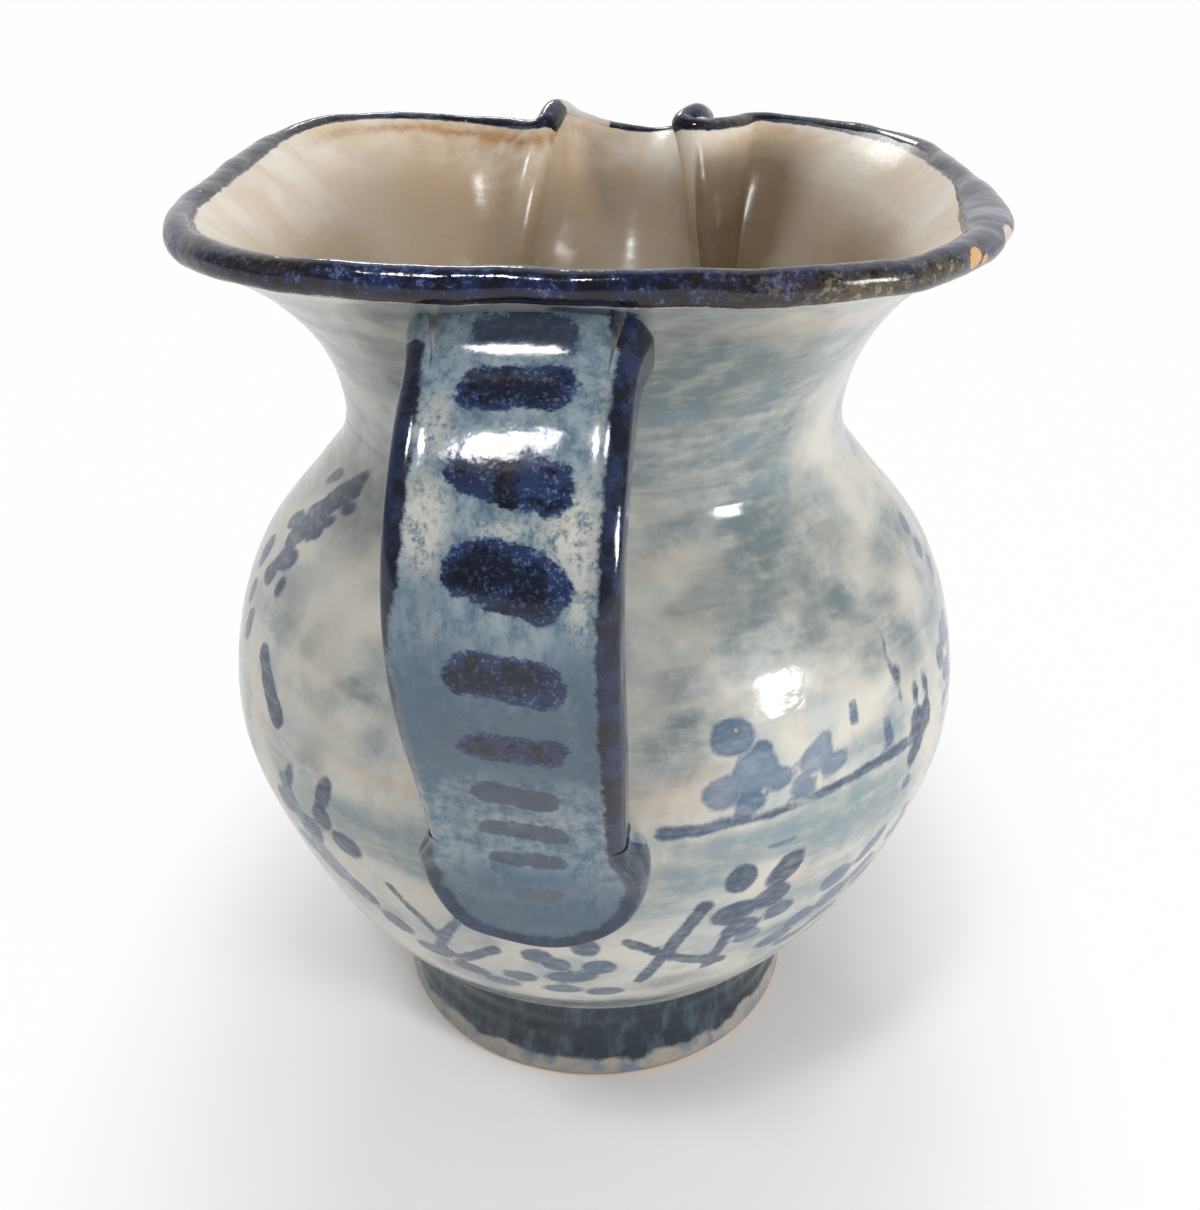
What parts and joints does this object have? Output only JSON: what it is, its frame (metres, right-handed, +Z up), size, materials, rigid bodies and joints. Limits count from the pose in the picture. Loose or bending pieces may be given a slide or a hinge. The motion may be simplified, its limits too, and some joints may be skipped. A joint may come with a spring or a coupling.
{
  "type": "creamer",
  "caption": "Small glazed pottery creamer with a round belly, a narrow neck, a flared mouth with a pinched spout, and an ear-shaped strap handle.",
  "frame": {"origin": "under the middle of the whole creamer's bounding box, on the plane that it stands on", "axes": "+Z up, +Y towards the spout, -Y towards the handle, +X to the right when the handle faces the viewer"},
  "size_m": [0.0898, 0.1086, 0.1124],
  "materials": {
    "cream_glaze": "glossy cream tin glaze with grey-blue washes",
    "cobalt_rim": "glossy near-black cobalt over clay, worn at the edge",
    "slate_foot": "glossy slate-blue band over cream glaze, bare clay at the rest face",
    "pale_blue_handle": "glossy pale blue glaze with dark cobalt dabs",
    "cobalt_edge": "glossy dark cobalt along the handle's edges"
  },
  "bodies": {
    "root": {"vessel_belly": "cream_glaze", "vessel_neck": "cream_glaze", "rim_roll": "cobalt_rim", "foot_ring": "slate_foot", "handle_strap": "pale_blue_handle", "handle_coil_left": "cobalt_edge", "handle_coil_right": "cobalt_edge", "handle_root": "pale_blue_handle", "handle_terminal": "pale_blue_handle"}
  },
  "joints": []
}
